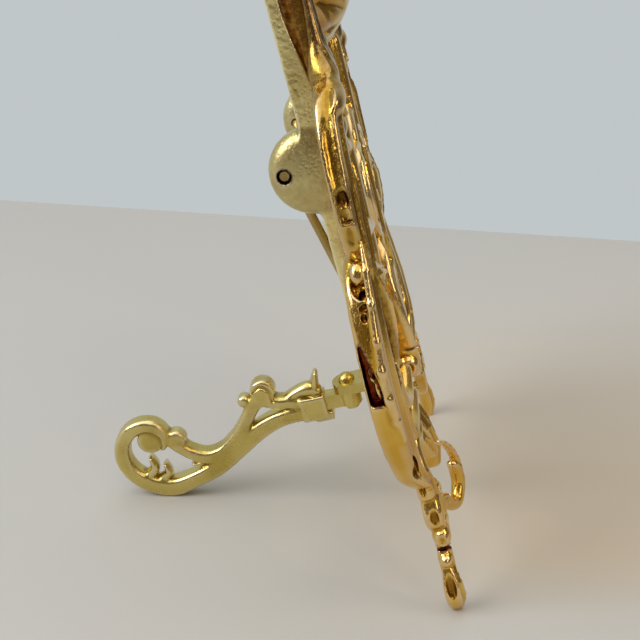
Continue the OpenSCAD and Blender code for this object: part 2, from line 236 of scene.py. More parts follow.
def skin(clay):
    """The surface as points, four-cornered faces, and the staining and painted shade on them, by surface nets."""
    g = clay.gap
    inside = g < 0
    n = np.array(g.shape) - 1
    count = sum(inside[i:i + n[0], j:j + n[1], k:k + n[2]].astype(np.int8)
                for i in (0, 1) for j in (0, 1) for k in (0, 1))
    cells = np.argwhere((count > 0) & (count < 8))
    number = np.full(n, -1, np.int64)
    number[tuple(cells.T)] = np.arange(len(cells))
    total, hits = np.zeros((len(cells), 3)), np.zeros((len(cells), 1))
    for axis in range(3):
        for u in (0, 1):
            for v in (0, 1):
                corner = np.insert([u, v], axis, 0)
                a = cells + corner
                b = a + np.eye(3, dtype=int)[axis]
                ga, gb = g[tuple(a.T)], g[tuple(b.T)]
                hit = (ga < 0) != (gb < 0)
                t = np.where(hit, ga / np.where(hit, ga - gb, 1), 0)
                spot = a - cells + t[:, None] * np.eye(3)[axis]
                total += spot * hit[:, None]
                hits += hit[:, None]
    points = clay.low + clay.cell * (cells + total / hits)
    stain_and_shade = clay.stain_and_shade[tuple(cells.T)]
    faces = []
    for axis in range(3):
        a, b = [slice(None)] * 3, [slice(None)] * 3
        a[axis], b[axis] = slice(0, -1), slice(1, None)
        edges = np.argwhere(inside[tuple(a)] != inside[tuple(b)])
        p, q = (axis + 1) % 3, (axis + 2) % 3
        edges = edges[(edges[:, p] > 0) & (edges[:, q] > 0) & (edges[:, p] < n[p]) & (edges[:, q] < n[q])]
        ep, eq = np.eye(3, dtype=int)[p], np.eye(3, dtype=int)[q]
        quad = np.stack([number[tuple(c.T)] for c in (edges - ep - eq, edges - eq, edges, edges - ep)], 1)
        back = ~inside[tuple(edges.T)]
        quad[back] = quad[back][:, ::-1]
        faces.append(quad)
    return points, np.vstack(faces), stain_and_shade


def face_edges(faces):
    return np.vstack([faces[:, [a, b]] for a, b in ((0, 1), (1, 2), (2, 3), (3, 0))])


def relax(points, faces, rounds):
    """Evens the grid's steps out, with almost no shrinking: each round pulls in, then pushes out a little more."""
    links = face_edges(faces)
    count = np.bincount(links.ravel(), minlength=len(points))[:, None]
    for way in [PULL, PUSH] * rounds:
        total = np.zeros_like(points)
        for k in range(3):
            total[:, k] = (np.bincount(links[:, 0], points[links[:, 1], k], len(points))
                           + np.bincount(links[:, 1], points[links[:, 0], k], len(points)))
        points = points + way * (total / count - points)
    return points


def relief(points, faces):
    """How far each point lies below its smoothed surroundings, in millimetres; ridges are negative."""
    links = face_edges(faces)
    count = np.bincount(links[:, 0], minlength=len(points))[:, None]
    soft = points
    for _ in range(RELIEF_ROUNDS):
        total = np.stack([np.bincount(links[:, 0], soft[links[:, 1], k], len(points)) for k in range(3)], 1)
        soft = (soft + total / count) / 2
    normal = np.cross(points[faces[:, 2]] - points[faces[:, 0]], points[faces[:, 3]] - points[faces[:, 1]])
    out = np.stack([sum(np.bincount(faces[:, c], normal[:, k], len(points)) for c in range(4)) for k in range(3)], 1)
    return ((soft - points) * out).sum(1) / np.maximum(np.linalg.norm(out, axis=1), 1e-9)


def finished(clay, rounds=4):
    """The relaxed surface of a clay, with its staining and painted shade, and its relief."""
    points, faces, stain_and_shade = skin(clay)
    points = relax(points, faces, rounds)
    return points, faces, stain_and_shade, relief(points, faces)


def on_panel(p):
    """Panel millimetres to the frame's metres."""
    x, s, d = p.T
    return np.stack([x, s * math.sin(LEAN) - d * math.cos(LEAN) - DEPTH_MID,
                     s * math.cos(LEAN) + d * math.sin(LEAN)], 1) / 1000


def piece(name, surface, place, nodes, body, material, mirror=False):
    """A finished piece: its surface placed in the frame, riding its body in place of the CAD nodes."""
    points, faces, stain_and_shade, hollow = surface
    points = place(points)
    if mirror:
        points, faces = points * [-1, 1, 1], faces[:, ::-1]
    mesh = bpy.data.meshes.new(name)
    mesh.from_pydata(points.tolist(), [], faces.tolist())
    mesh.polygons.foreach_set("use_smooth", np.ones(len(faces), bool))
    for key, values in (("stain_and_shade", stain_and_shade), ("hollow", hollow)):
        mesh.attributes.new(key, "FLOAT", "POINT").data.foreach_set("value", values.astype(np.float32))
    mesh.materials.append(material)
    mesh.update()
    obj = bpy.data.objects.new(name, mesh)
    bpy.context.collection.objects.link(obj)
    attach(obj, body)
    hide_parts(*nodes)
    return obj


# ---------- Cross-sections of the strands ----------

def evenly(across, heights):
    """The same heights on both sides of the middle."""
    return lambda q, t: np.interp(np.abs(q), across, heights)


ridged = evenly([0, 0.1, 0.5, 0.8, 1], [0, -0.25, -1.5, -1.25, -2.4])
grooved = evenly([0, 0.25, 0.5, 0.8, 1], [-1.5, -1.2, -0.1, -0.2, -1.6])
# a leaf: a midrib between two long hollows, with soft edges
veined = evenly([0, 0.14, 0.45, 0.75, 0.9, 1.05], [0, -0.5, -1.25, -0.95, -1.2, -2.4])


def domed(q, t):
    return -1.5 * np.minimum(np.abs(q), 1.0) ** 2.4


def cavetto(q, t):
    """A rim on the inside, a shallow hollow, and a long bevel down to the outside."""
    return np.interp(-q, [-1, -0.85, -0.6, -0.35, 0, 0.4, 0.7, 0.9, 1.05],
                     [-1.4, -0.4, 0, -0.35, -1.1, -1.3, -1.1, -1.9, -3.0])


def ribbed(q, t):
    return domed(q, t) - 0.3 * (0.5 + 0.5 * np.cos(2 * math.pi * t / 3.4)) ** 3


def on_side(side):
    """Puts points on one side of the middle."""
    return lambda points: [[side * p[0], *p[1:]] for p in points]


# ---------- Wing ----------

def add_member(clay):
    """The member in front of the upright bar, the web behind it, and the leaf that runs down its side."""
    strand(clay, [[MEMBER_X, 50, 7.2], [MEMBER_X, 100, 7.2], [MEMBER_X, 152, 7.0], [MEMBER_X, 160, 6.6]],
           lambda q, t: domed(q, t) + np.interp(t, [0, 25, 45, 60, 100], [-0.4, -2.0, -1.4, -0.4, 0]), top=2.4)
    strand(clay, [[MEMBER_X, 152, 7.0], [MEMBER_X, 168, 6.4], [MEMBER_X, 184, 6.2], [MEMBER_X, 199, 6.2]], domed,
           top=0.9)
    block(clay, [29.8, 148, -7.5], [35.2, 199, -2.0], soft=2.6)
    # painted shade: the back of the web, in the gap behind the member, is dark
    clay.stain_and_shade[clay.window([26, 146, -8], [37, 206, -4.0])[0]] = 0.9
    strand(clay, [[34.6, 205, 4.6, 0.3], [35.2, 192, 5.4, 0.34], [36.2, 180, 6.4, 0.42], [37.6, 170, 7.8, 0.62],
                  [39.6, 162.4, 9.0, 0.96], [41.4, 158.6, 6.4, 0.8]], ridged, top=4.2, back=-3.4, **BROAD)


def add_scrolls(clay):
    """The two C-scrolls, and the leaves at their joint."""
    strand(clay, [[57.6, 45.4, 2.2, 0.5], [63.2, 52.6, 6.6, 0.85], [70, 69, 10.4], [72, 84, 11], [70.6, 99, 10],
                  [66.5, 111, 8], [59.5, 117, 6.4], [53, 114, 5.2]], cavetto, top=4.3, **BROAD)
    knob(clay, 54.8, 111.5, 4.4, top=4.4, dome=1.6)
    knob(clay, 54.8, 111.5, 1.7, top=5.2, dome=1.2)
    # the upper one and the round end of it
    upper = dict(top=4.4, back=UPPER_BACK, back_edge=1.6, edge=0.7)
    strand(clay, [[59, 117, 5.6], [62, 125, 6.6], [61.6, 137, 7.4], [58.6, 149, 7.4], [52.6, 157, 7],
                  [45.6, 158.6, 5.8], [41.6, 153.4, 5]], cavetto, **upper)
    knob(clay, 44, 150, 4.0, top=3.6, dome=1.6, back=UPPER_BACK)
    lump(clay, [51.0, 158.0, 2.6], [6.8, 3.4, 3.3], turn=-8, soft=1.6)
    ridge(clay, [[40.0, 167, 0.6, 2.0], [43, 163, 1.2, 2.4], [47, 160.6, 1.6, 2.6]], 3.0)
    # leaf that stands in front of the joint between the two
    strand(clay, [[54.5, 146, 2, 0.7], [57.4, 139, 5.2], [59.6, 130, 6.6], [61.6, 120, 5.6], [63.5, 110, 3, 0.8]],
           veined, top=5.4, back=0)
    strand(clay, [[50, 137, 2, 0.7], [53.6, 131, 4.6], [57, 124, 4.6], [59.6, 116, 3, 0.8]], veined, top=4.4, back=0)

    # leaf that stands proud inside the lower C-scroll, its outer side brown and grained
    strand(clay, [[61.4, 119, 2.6], [60.6, 113, 4.6], [59.4, 106, 6.2], [58.6, 98, 6.6], [58.4, 91, 5.6],
                  [59.2, 84, 3.0]],
           lambda q, t: np.interp(q, [-1.05, -0.3, 0.5, 0.85, 1.05], [-2.6, -1.3, -0.7, 0, -0.6])
           + np.interp(t, [0, 6, 13, 21, 28, 36], [-2.6, -1.3, 0, -0.4, -1.6, -3.4]), top=6.8, back=-1)
    part, (x, s, d) = clay.window([59, 83, -1], [71, 114, 7])
    brown = 0.55 * step(70, 66, x) * step(84, 90, s) * step(114, 107, s) * step(5.9, 4.7, d)
    clay.stain_and_shade[part] = np.maximum(clay.stain_and_shade[part], brown)


def add_ties(clay):
    """Scrolls that tie the C-scrolls to the member."""
    strand(clay, [[33, 70, 5], [42, 66, 5.4], [51, 71, 6], [55, 82, 6.2], [51, 92, 5.6], [44, 93, 4.6]], domed,
           top=3.0)
    knob(clay, 45.6, 89.4, 4, top=3.4, dish=1.3)
    strand(clay, [[33, 103, 5], [41, 105, 5.4], [48, 102, 5.4], [54, 94, 5], [64, 90, 5]], ridged, top=3.4)
    strand(clay, [[33, 118, 5], [42, 120, 5.4], [49, 127, 5.6], [53, 136, 5.2], [59, 146, 5]], domed, top=2.8,
           back=UPPER_BACK)
    strand(clay, [[33, 170, 6], [38, 165, 6.4], [46, 159, 5]], domed, top=2.2, back=UPPER_BACK)
    strand(clay, [[33, 142, 5], [38, 143, 5], [43, 148, 5]], domed, top=2.2, back=UPPER_BACK)
    strand(clay, [[55, 60, 2.4], [60, 68, 5], [63.4, 78, 5.6], [62, 88, 3]], veined, top=4.2, back=-2)
    strand(clay, [[36, 57, 2.4], [43, 53, 4.6], [51, 55, 3]], veined, top=3.2, back=-2)


def add_foot(clay):
    """The neck under the scrolls, its beads and leaves, and the foot."""
    strand(clay, [[57, 50, 5.0], [50, 57, 5.4], [41, 58.5, 5.4], [33, 62, 5]], domed, top=3.2)
    strand(clay, [[57.4, 16, 3.4], [57.0, 22, 3.0], [56.4, 28, 3.6], [55.8, 38, 4.4], [57, 50, 5.0]], domed, top=2.9,
           back=-1.7, back_edge=1.2)
    lump(clay, [57.6, 18.3, 0.4], [3.6, 2.5, 2.2])
    lump(clay, [57.0, 26.4, 0.9], [3.9, 3.5, 2.8])
    strand(clay, [[57.2, 30.4, 3.6, 0.85], [58.0, 34.6, 5.8, 1.0], [56.8, 39.4, 4.6, 0.95]], domed, top=3.3,
           back=-2.9, back_edge=1.6)
    strand(clay, [[56.6, 41, 3.4, 0.7], [59.4, 43.6, 4.4, 0.9], [59.6, 47.4, 4.0, 0.8]], domed, top=2.4, back=-3.2,
           back_edge=1.6)
    strand(clay, [[58.8, 0.2, 2.4, 0.62], [59.8, 4.2, 4.6, 1.0], [60.2, 9, 6.4, 1.04], [59.2, 13, 5.0, 0.85],
                  [57.8, 16.6, 3.2, 0.7]], ridged, top=3.9, back=FOOT_BACK, back_edge=1.1)


def cut_side(clay):
    """Hollows, cuts and raised lines on the outer side."""
    ridge(clay, [[66.0, 132, 0.6, 1.4], [66.4, 138, 0.8, 2.0], [65.5, 144, 0.9, 2.3], [63.5, 150.2, 1.0, 2.2],
                 [60.7, 155.4, 1.3, 1.9], [57.4, 159.6, 1.8, 1.9], [53.6, 161.8, 2.3, 1.5]], 0.7, cut=True)
    scoop(clay, [65.3, 136.6, 1.1], [1.9, 2.6, 1.5], stain_and_shade=0.8)
    scoop(clay, [66.0, 130.6, 1.2], [1.5, 0.45, 1.9], stain_and_shade=0.8)
    scoop(clay, [66.0, 126.0, 0.9], [1.3, 3.6, 1.7])
    scoop(clay, [68.0, 115.6, 0.3], [1.9, 4.6, 2.3], turn=34)
    lump(clay, [66.6, 117.4, 0.4], [2.1, 3.1, 2.0], turn=34, soft=0.6)
    scoop(clay, [69.0, 111.4, 0.6], [2.3, 1.5, 0.9], turn=-60, stain_and_shade=0.7)
    scoop(clay, [72.1, 109.8, 0.8], [1.2, 1.2, 1.6], stain_and_shade=0.8)
    scoop(clay, [72.9, 107.8, 0.2], [0.9, 1.5, 0.7], stain_and_shade=0.8)
    # the long red-brown hollow, and the lumps in it
    part, (x, s, d) = clay.window([70, 80, -6], [81, 104, 5])
    ends = smooth_max(84.4 - s, s - 101.5, 0.8)
    sides = smooth_max(-3.1 - d, d + 2.2 - 0.25 * (101 - s), 1.2)
    clay.carve(part, smooth_max(smooth_max(ends, sides, 1.2), 73.8 - x, 0.8), 0.3, 1.0)
    lump(clay, [75.0, 88.4, -0.2], [1.6, 3.4, 1.0], turn=-6)
    lump(clay, [75.2, 93.0, -1.2], [1.3, 2.4, 0.7], turn=-6)
    # the raised line that sweeps down across the wall
    ridge(clay, [[65.0, 124, 2.9, 0.5], [68.2, 118, 2.9, 0.9], [72.0, 110.4, 2.7, 1.0], [75.2, 101.6, 2.3, 1.0],
                 [76.9, 94, 1.9, 1.1], [77.6, 86, 2.1, 1.2], [77.0, 79, 2.7, 1.0], [75.4, 72, 3.0, 0.6]], 1.0)
    scoop(clay, [67.2, 58.2, 2.2], [2.6, 5.4, 1.1], turn=-28, stain_and_shade=0.3)
    scoop(clay, [62.7, 12.0, 0.2], [1.7, 6.4, 1.5], turn=8)
    scoop(clay, [61.0, 26.6, 0.7], [1.2, 2.2, 1.4])
    scoop(clay, [57.2, 22.0, 0.4], [6.0, 0.55, 5.0], stain_and_shade=1.0)
    scoop(clay, [61.1, 35.2, 0.3], [1.7, 3.9, 1.4], turn=-4)
    scoop(clay, [62.0, 45.4, -0.9], [1.3, 3.4, 0.9], turn=20)


def add_ears(clay):
    """Ears for the hook's pin, and room for the hook between them."""
    part, (x, s, d) = clay.window([44, 24, -5], [60, 42, 8])
    barrel = np.hypot(x - HOOK_X, d - HOOK_D)
    web = smooth_max(np.abs(x - 53) - 2.8, np.abs(d - HOOK_D) - 2.4, 0.4)
    reach = np.abs(s - HOOK_S)
    ear = smooth_max(smooth_min(barrel - 2.6, web, 0.4), np.abs(reach - 5.6) - 1.3, 0.5)
    clay.add(part, ear, 0.4)
    clay.carve(part, np.maximum(barrel - 3.1, reach - 4.25), 0.25)
    clay.carve(part, np.maximum(barrel - 2.0, np.abs(s - 40.6) - 0.9), 0.25)


def sculpt_wing():
    clay = Clay([*WING_LOW, -8], [*WING_HIGH, 9], FINE)
    for add in (add_member, add_scrolls, add_ties, add_foot, cut_side, add_ears):
        add(clay)
    # rough ground in the recesses
    clay.roughen([60, 84, 0], [69, 106, 6], 0.8, 0.10, 7, lambda x, s, d: step(69, 67, x) * step(5.2, 4.4, d))
    recess = [62, 110, -2], [70, 155, 6]
    clay.roughen(*recess, 0.8, 0.14, 2, lambda x, s, d: clay.stain_and_shade[clay.window(*recess)[0]])
    clay.roughen_back(WING_LOW, WING_HIGH, 0.16, 3)
    # painted shade: the upper part is darker, and the neck most
    part, (x, s, d) = clay.window([26, 100, -8], [82, 206, 9])
    clay.stain_and_shade[part] = np.maximum(clay.stain_and_shade[part], np.interp(s, [104, 126, 156, 170], [0, 0.22, 0.3, 0.78]))
    return clay


def place_wing(p):
    """Turns the wing back from the flat middle, but not its foot."""
    turn = (p[:, 0] - BAR_END) * WING_TURN * step(44, 56, p[:, 1])
    p = p - np.stack([0 * turn, 0 * turn, turn], 1)
    flat = on_panel(p)
    flat[:, 2] = np.maximum(flat[:, 2], 0)
    return flat


# ---------- The other castings ----------

def sculpt_crest():
    clay = Clay([-46, 196, -6], [46, 292, 10], COARSE)
    for side in (1, -1):
        mirrored = on_side(side)
        section = lambda q, t: cavetto(-side * q, t)
        strand(clay, mirrored([[MEMBER_X, 203, 6.6], [37, 213, 7], [36, 223, 7.4], [29, 230, 6.8], [21, 228, 5.4]]),
               section, top=4.3)
        knob(clay, side * 22.4, 225, 3.9, top=5.2, dome=1.5)
        strand(clay, mirrored([[30, 228, 5.6], [31, 239, 7], [26, 250, 7.4], [18, 254, 6.6], [11.5, 250, 5.4]]),
               section, top=4.3)
        knob(clay, side * 13, 247, 3.8, top=5.2, dome=1.5)
        strand(clay, mirrored([[MEMBER_X, 206, 5], [22, 214, 5.4], [11, 217, 5.6], [0, 217, 6]]), grooved)
        strand(clay, mirrored([[22, 234, 4.6], [15, 236, 5], [7, 231, 5], [0, 223, 5]]), grooved)
        strand(clay, mirrored([[14, 254, 5], [16, 262, 5.6], [12, 268, 5.4], [4, 266, 5]]), ridged)
        strand(clay, mirrored([[34, 212, 2.4], [29, 219, 5], [26, 224, 3]]), veined, top=5.6, back=-1)
    strand(clay, [[0, 214, 4], [0, 222, 7], [0, 236, 7.4], [0, 252, 5], [0, 262, 8]], veined, top=4.8)
    # a shell whose flutes spread from its root
    part, (x, s, d) = clay.window([-20, 254, -6], [20, 290, 10])
    up = s - 262
    root, far = np.hypot(x, up), np.hypot(x, s - 270.5)
    flute = np.abs(np.cos(4.5 * np.arctan2(x, up)))
    rim = 15.6 + 1.1 * flute
    rise = 6.6 - 0.010 * far**2 - 1.3 * (1 - flute) * step(2, 9, root) + 0.7 * step(12.5, 14.5, far)
    clay.add(part, smooth_max(smooth_max(far - rim, d - rise, 1.0), BACK - d, 1.0), 0.8)
    lump(clay, [0, 261, 4.6], [4.2, 4.2, 3.2])
    clay.roughen_back([-46, 196], [46, 292], 0.22, 4)
    return clay


def sculpt_shell():
    """A dome whose flutes spread from a point below its middle."""
    box = [-27, 160, -6], [27, 216, 16]
    clay = Clay(*box, COARSE)
    part, (x, s, d) = clay.window(*box)
    up = s - SHELL_S
    far = np.hypot(x, up)
    foot = np.hypot(x, up + SHELL_FOOT)
    flute = np.abs(np.cos(6.5 * np.arctan2(x, up + SHELL_FOOT))) ** 0.6
    dome = SHELL_TOP - SHELL_CURVE + np.sqrt(np.maximum(SHELL_CURVE**2 - far**2, 60))
    rise = dome - 1.3 * (1 - flute) * step(4, 12, foot) + 0.8 * step(20.4, 22.4, far)
    rim = SHELL_R - 0.5 + 0.6 * flute * step(3, 12, foot)
    clay.add(part, smooth_max(smooth_max(far - rim, d - rise, 1.2), BACK - d, 1.0), 0.6)
    return clay


def sculpt_centre():
    clay = Clay([-31, 50, -7], [31, 152, 9], COARSE)
    for side in (1, -1):
        mirrored = on_side(side)
        section = lambda q, t: cavetto(-side * q, t) * 0.7
        strand(clay, mirrored([[0, 104, 6, 0.7], [8, 107.6, 5, 0.7], [15, 105, 5.4, 0.7], [18.6, 100, 4, 0.7]]),
               domed, top=4.0)
        # the arch stands proud of the rest, and comes back to it at its foot
        strand(clay, mirrored([[12, 106, 3.6], [17, 103, 5.4], [20.6, 96, 6.4], [22.2, 87, 7], [22, 78, 7.4],
                               [19.4, 68, 6.6]]),
               lambda q, t: section(-q, t) + np.interp(t, [0, 6, 14, 22, 31, 40], [-1.6, -0.9, -0.5, 0.2, 1.0, 1.2]),
               top=4.2, back=-2.5)
        strand(clay, mirrored([[22, 77, 6.4, 1.1], [18.6, 66, 7, 1.25], [10, 58.6, 6, 0.95], [0, 56, 6, 0.8]]),
               lambda q, t: section(-q, t), top=4.3, back_edge=1.4)
        strand(clay, mirrored([[0, 92, 5], [6, 86, 5], [7, 76, 5.4], [12, 68, 5.2], [19, 70, 5]]), domed, top=3.4)
        strand(clay, mirrored([[8, 106, 5], [16, 112, 6], [20, 122, 6.4], [17, 132, 5.6], [10, 134, 4.6]]), section,
               top=2.9)
        knob(clay, side * 11.4, 130.4, 3.8, top=2.9, dome=1.3)
        strand(clay, mirrored([[10, 133, 4.6], [5, 140, 4.6], [0, 144, 4]]), domed, top=2.4)
        # curl along the outer wall
        lump(clay, [side * 23.2, 66.6, 1.6], [3.2, 3.8, 3.2])
        scoop(clay, [side * 26.4, 66.8, 1.8], [1.3, 2.2, 1.8])
        scoop(clay, [side * 26.0, 72.4, 3.0], [2.6, 0.45, 2.4], stain_and_shade=0.8)
    strand(clay, [[0, 90, 5], [0, 104, 6.6], [0, 122, 6.4], [0, 134, 5], [0, 143, 3.4]], ridged, top=2.9)
    strand(clay, [[0, 126, 3], [0, 118, 8], [0, 108, 6.6], [0, 98, 3]], veined, top=3.7)
    lump(clay, [0, 57.0, 1.2], [5.6, 4.0, 3.6])
    clay.roughen_back([-31, 50], [31, 152], 0.16, 5)
    return clay


def swelling(section):
    """A section that lies back at the strand's start and swells forward to its tip."""
    return lambda q, t: section(q, t) + np.interp(t, [0, 8, 12, 20, 28, 38], [-6.4, -6.8, -4.8, -1.7, 0, -1.6])


def sculpt_pendant():
    """It hangs behind the scroll at its top."""
    clay = Clay([-15, 8, -6], [15, 54, 8], FINE)
    for side in (1, -1):
        mirrored = on_side(side)
        strand(clay, mirrored([[3, 48, 5.0], [8, 40, 6.6], [9.2, 31, 6.2], [6.4, 22.6, 3]]), swelling(ridged), top=3.9)
    strand(clay, [[0, 50, 6.4], [0, 38, 8.2], [0, 26, 7.2], [0, 14, 2.4]], swelling(ridged), top=4.8)
    return clay


def sculpt_hook():
    """In the hook's own frame: its pin runs along s at x = 0, d = 0."""
    clay = Clay([-23, -14, -4], [5, 20, 4], HOOK_CELL)
    flat = dict(top=2.5, both_faces=True, edge=1.3, soft=0.4)
    strand(clay, [[-9.4, 15.6, 1.7, 0.5], [-13.4, 12.4, 2.4, 0.55], [-16.8, 7.4, 2.8, 0.6], [-18.3, 1.6, 3.0, 0.7],
                  [-17.6, -3.4, 3.2, 0.8]], ribbed, **flat)
    strand(clay, [[-0.6, -0.6, 4.4], [-5.6, -2.8, 4.0, 0.9], [-8.6, -7, 4.0, 0.8], [-13, -8.6, 4.4, 0.8],
                  [-16.6, -5, 4.4, 0.85], [-17.0, -0.4, 3.8, 0.85], [-15.4, 3.4, 2.6, 0.7]],
           lambda q, t: -1.1 * np.minimum(np.abs(q), 1) ** 2.2, **flat)
    part, (x, s, d) = clay.window([-5, -6, -4], [5, 6, 4])
    clay.add(part, smooth_max(np.hypot(x, d) - 2.6, np.abs(s) - 4.0, 0.5), 0.5)
    return clay


def place_hook(angle):
    turn = math.radians(angle)

    def place(p):
        x, s, d = p.T
        return on_panel(np.stack([HOOK_X + x * math.cos(turn) + d * math.sin(turn), HOOK_S + s,
                                  HOOK_D - x * math.sin(turn) + d * math.cos(turn)], 1))
    return place


def sculpt_leg():
    """In the upright plane through the middle: y to the back, z up, and x across."""
    clay = Clay([38, -2, -5], [119, 52, 5], FINE)
    flat = dict(top=LEG_HALF, both_faces=True, edge=1.5, soft=0.9)
    plain = evenly([0, 0.7, 1, 1.05], [0.25, 0.05, -0.35, -0.4])
    strand(clay, [[46, 35.6, 5.6], [56.5, 32.6, 6], [64.4, 27.6, 6.6], [71.6, 20.6, 7], [80, 12, 6.6],
                  [88.5, 6.7, 6.2], [96, 3.3, 7.0], [103.6, 4.2, 6.6], [110, 8, 6], [113.8, 14.4, 5.6],
                  [113.2, 22, 5.4], [108.6, 27.4, 5.2], [102.4, 28.2, 4.8], [98.6, 24.6, 4.2], [99.4, 20.6, 3.4]],
           plain, **flat)
    knob(clay, 103.6, 22.4, 4.6, top=LEG_HALF - 0.25, dome=0.3, both_faces=True, edge=1.0, soft=0.35)
    knob(clay, 94.6, 22.9, 3.7, top=LEG_HALF, dome=0.5, both_faces=True, edge=1.4)
    strand(clay, [[93.6, 20.4, 4.6], [89, 17.6, 4.6], [83.6, 16.2, 5.2], [77.6, 18.6, 5.4], [72.6, 24.6, 5],
                  [69.4, 31, 4.6], [66.8, 37, 5], [63.6, 42, 6]], plain, **flat)
    knob(clay, 63.4, 43.1, 4.4, top=LEG_HALF + 0.2, dome=0.3, both_faces=True, edge=1.3, soft=0.4)
    knob(clay, 70, 38.8, 2.2, top=LEG_HALF - 0.3, dome=0.5, both_faces=True, edge=1.2)
    strand(clay, [[64, 40, 5], [58.6, 38.6, 4.6], [53.4, 38.9, 4.6], [47, 38.6, 5]], plain, **flat)
    # buds and leaves
    for line, top, edge in (([[105.4, 7, 4.4], [102.8, 11.0, 3.4], [104.0, 14.8, 1.8]], 2.9, 1.1),
                            ([[100.6, 5.6, 4.4], [98, 9.0, 3.2], [98.9, 12.4, 1.7]], 2.7, 1.1),
                            ([[83, 15.4, 4], [86, 13.0, 2.6], [88.8, 12.9, 1.5]], 2.2, 0.9),
                            ([[57, 38.6, 3], [51.4, 42.4, 4.2], [47.4, 43.8, 5], [44.6, 43.4, 3.4]], 2.9, 1.2),
                            ([[45.8, 41, 5], [45.7, 45.4, 3.4], [45.4, 50, 1.9]], 2.7, 1.1)):
        strand(clay, line, domed, top=top, edge=edge, both_faces=True)
    # collar round the bar's end, square with the panel
    part, (y, z, x) = clay.window([36, 30, -5], [54, 46, 5])
    s = y * math.sin(LEAN) + z * math.cos(LEAN)
    d = z * math.sin(LEAN) - y * math.cos(LEAN)
    collar = smooth_max(np.maximum(43 - s, s - 51.8), np.maximum(-39.2 - d, d + 30.3), 0.5)
    clay.add(part, smooth_max(collar, np.abs(x) - 4.1, 0.6), 0.7)
    low = smooth_max(np.maximum(42.0 - s, s - 45), np.maximum(-35.0 - d, d + 28.6), 0.4)
    clay.add(part, smooth_max(low, np.abs(x) - 3.6, 0.5), 0.4)
    # the volutes' edges, cut as fine lines
    for line in ([[108.6, 17.6, 0.9], [109.2, 22.6, 0.9], [105.6, 26.0, 0.9], [100.6, 24.4, 0.9], [99.6, 20.8, 0.8]],
                 [[59.8, 39.8, 0.8], [61.0, 43.6, 0.8], [64.0, 45.4, 0.8], [66.6, 43.4, 0.8]]):
        path = smooth_path(line)
        part, (y, z, x) = clay.window([*(path[:, :2].min(0) - 2), -5], [*(path[:, :2].max(0) + 2), 5])
        off, values, t = along(path, y[..., 0], z[..., 0])
        clay.carve(part, np.maximum((np.abs(off) - 0.5)[..., None], 2.9 - np.abs(x)), 0.4)
    return clay


def place_leg(p):
    y, z, x = p.T
    return np.stack([x, y - DEPTH_MID, np.maximum(z, 0)], 1) / 1000


def sculpt_stile():
    clay = Clay([27, 42, -24], [38.4, 226, -2.6], STILE_CELL)
    whole = clay.low, clay.low + clay.cell * (clay.count - 1)
    part, (x, s, d) = clay.window(*whole)
    across = np.abs(x - MEMBER_X) - STILE_W / 2
    # how much nearer the casting the bar comes beside its lug
    near = 3.4 * step(182, 154, s) * step(118, 128, s)
    bar = smooth_max(smooth_max(across, np.maximum(BAR_BACK - d, d - BAR_FRONT - near), 0.6),
                     np.maximum(44 - s, s - 224), 0.6)
    disc = np.hypot(s - LUG_S, d - LUG_D) - LUG_R
    dome = 2.0 * np.clip(1 - ((disc + LUG_R) / LUG_R)**2, 0, 1)
    lug = smooth_max(smooth_max(disc, across - dome, 4.4), d - BAR_FRONT - near, 0.7)
    gap = smooth_min(bar, lug, 1.6)
    for boss in (62, 100, 166, 207):
        post = np.hypot(x - MEMBER_X, s - boss) - (3.2 if boss < 150 else 2.2)
        gap = smooth_min(gap, smooth_max(post, np.maximum(BAR_FRONT - 1 - d, d - BACK), 0.3), 0.9)
    clay.gap[part] = gap
    hole = np.hypot(s - PIN_S, d - PIN_D)
    clay.gap = smooth_max(clay.gap, 1.5 - hole, 0.25)
    clay.gap = smooth_max(clay.gap, np.minimum(2.0 - hole, x - BAR_END - STILE_W + 0.8), 0.3)
    # sand-cast sides: pitted on the bar, smooth on the lug
    away = step(-1.5, 1.0, disc)
    clay.roughen(*whole, 0.9, 0.12, 6, lambda x, s, d: away * step(-7.9, -8.8, d))
    # painted shade: dark inside the pin hole, and the whole lug darker
    clay.stain_and_shade = np.maximum(step(2.7, 2.2, hole) * step(33.5, 34.5, x), 0.34 * (1 - away)).astype(np.float32)
    return clay


# ---------- Materials ----------

